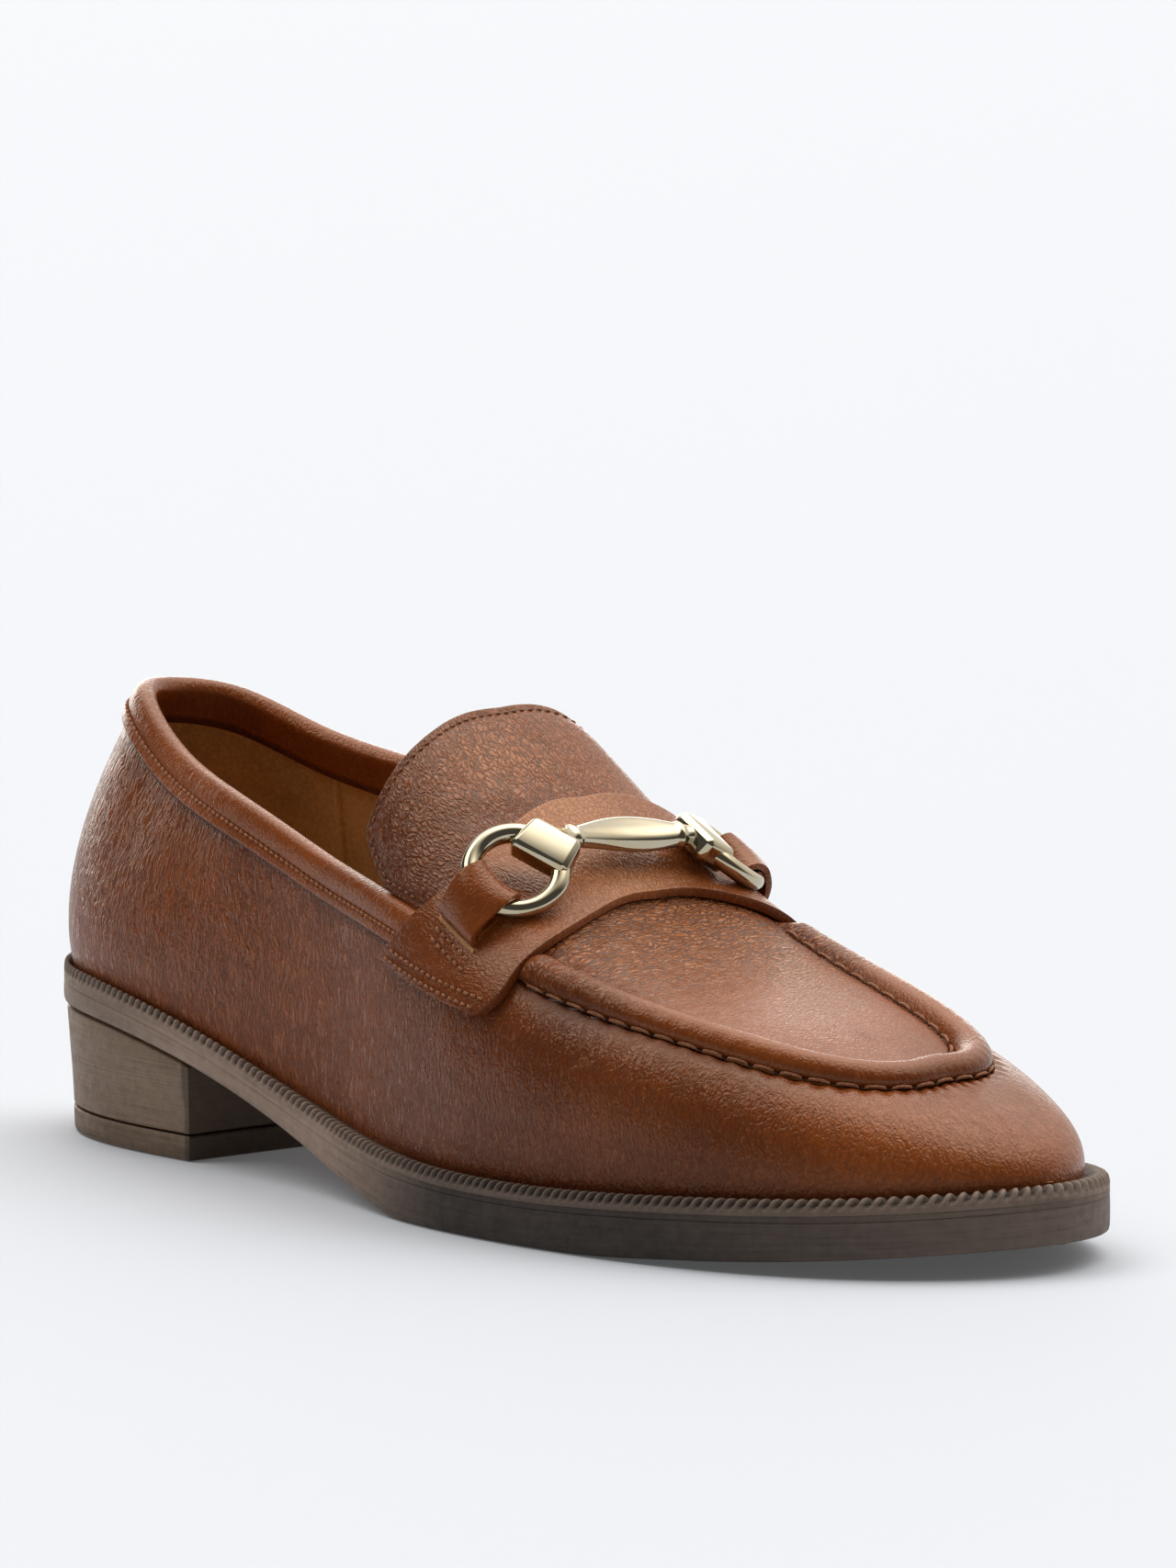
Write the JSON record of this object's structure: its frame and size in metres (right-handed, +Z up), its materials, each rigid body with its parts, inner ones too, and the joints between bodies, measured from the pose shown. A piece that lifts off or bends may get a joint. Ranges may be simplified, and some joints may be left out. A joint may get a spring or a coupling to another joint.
{
  "type": "loafer shoe",
  "caption": "Slip-on leather loafer for the right foot with a rolled apron seam, a saddle strap holding a metal snaffle bit, a ribbed welt and a low block heel.",
  "frame": {"origin": "on the floor, under the middle of the shoe's length and width", "axes": "+X from heel to toe, +Y to the shoe's inner side (the wearer's left), +Z up"},
  "size_m": [0.2626, 0.0883, 0.0886],
  "materials": {
    "tan_leather": "grained tan leather, waxed to a low shine",
    "sock_lining": "matt ochre lining leather",
    "sole_edge": "matt dark taupe sole edge",
    "stacked_heel": "stacked leather look with fine level lines",
    "heel_lift": "matt dark rubber",
    "bit_metal": "polished pale gold plate"
  },
  "bodies": {
    "root": {"outsole": "sole_edge", "welt": "sole_edge", "heel_block": "stacked_heel", "top_lift": "heel_lift", "insole": "sock_lining", "upper": "tan_leather", "tongue": "tan_leather", "collar_binding": "tan_leather", "saddle_strap": "tan_leather", "ring_tab_outer": "tan_leather", "ring_tab_inner": "tan_leather", "bit_ring_outer": "bit_metal", "bit_ring_inner": "bit_metal", "bit_bar": "bit_metal"}
  },
  "joints": []
}
